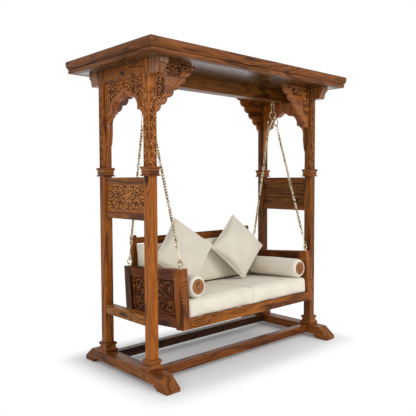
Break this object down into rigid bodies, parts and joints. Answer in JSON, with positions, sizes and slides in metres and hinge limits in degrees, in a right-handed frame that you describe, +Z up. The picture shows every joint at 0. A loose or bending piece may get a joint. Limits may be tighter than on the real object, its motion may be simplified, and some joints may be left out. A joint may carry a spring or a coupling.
{
  "type": "jhoola swing",
  "caption": "Roofed wooden swing: a cushioned bench with carved arms hangs on chains from a beam in a post frame with cusped arches.",
  "frame": {"origin": "on the floor under the middle of the frame, halfway between the posts", "axes": "+X along the seat to its right end seen from the front, +Y to the back, +Z up"},
  "size_m": [1.938, 0.973, 2.089],
  "materials": {
    "sheesham_wood": "gloss",
    "carved_sheesham": "satin",
    "antique_brass": "satin",
    "dark_steel": "satin",
    "bright_steel": "satin",
    "cream_linen": "matte",
    "pillow_linen": "matte"
  },
  "bodies": {
    "frame": {"skid_left": "sheesham_wood", "skid_right": "sheesham_wood", "post_front_left": "sheesham_wood", "post_front_right": "sheesham_wood", "post_back_left": "sheesham_wood", "post_back_right": "sheesham_wood", "post_bases": "sheesham_wood", "post_collars": "sheesham_wood", "stretcher_front": "sheesham_wood", "stretcher_back": "sheesham_wood", "frame_bolts": "dark_steel", "side_rail_left": "sheesham_wood", "side_rail_right": "sheesham_wood", "panel_rails_left": "sheesham_wood", "panel_rails_right": "sheesham_wood", "carved_panel_left": "carved_sheesham", "carved_panel_right": "carved_sheesham", "top_rail_left": "sheesham_wood", "top_rail_right": "sheesham_wood", "corbels": "sheesham_wood", "arch_left": "carved_sheesham", "arch_right": "carved_sheesham", "bracket_front_left": "carved_sheesham", "bracket_front_right": "carved_sheesham", "bracket_back_left": "carved_sheesham", "bracket_back_right": "carved_sheesham", "main_beam": "sheesham_wood", "beam_eyes": "antique_brass", "cornice_long": "sheesham_wood", "cornice_short": "sheesham_wood", "ceiling_panel": "sheesham_wood", "roof_boards": "sheesham_wood", "roof_battens": "sheesham_wood", "wood_screws": "bright_steel"},
    "swing": {"hanger_links": "antique_brass", "double_hooks": "antique_brass", "chain_front_left": "antique_brass", "chain_front_right": "antique_brass", "chain_back_left": "antique_brass", "chain_back_right": "antique_brass", "arm_eyes": "antique_brass", "arm_stiles_left": "sheesham_wood", "arm_stiles_right": "sheesham_wood", "arm_rails_left": "sheesham_wood", "arm_rails_right": "sheesham_wood", "arm_panel_left": "carved_sheesham", "arm_panel_right": "carved_sheesham", "seat_rail_front": "sheesham_wood", "seat_rail_back": "sheesham_wood", "seat_slats": "sheesham_wood", "back_stiles": "sheesham_wood", "back_rails": "sheesham_wood", "back_slats": "sheesham_wood", "seat_cushion_left": "cream_linen", "seat_cushion_right": "cream_linen", "back_cushion": "cream_linen", "bolster_left": "cream_linen", "bolster_right": "cream_linen", "bolster_medallions": "carved_sheesham", "pillow_left": "pillow_linen", "pillow_right": "pillow_linen"}
  },
  "joints": [
    {"name": "swing_pivot", "type": "hinge", "parent": "frame", "child": "swing", "pos_m": [0, 0, 1.894], "axis": [1, 0, 0], "range_deg": [-20, 20]}
  ]
}
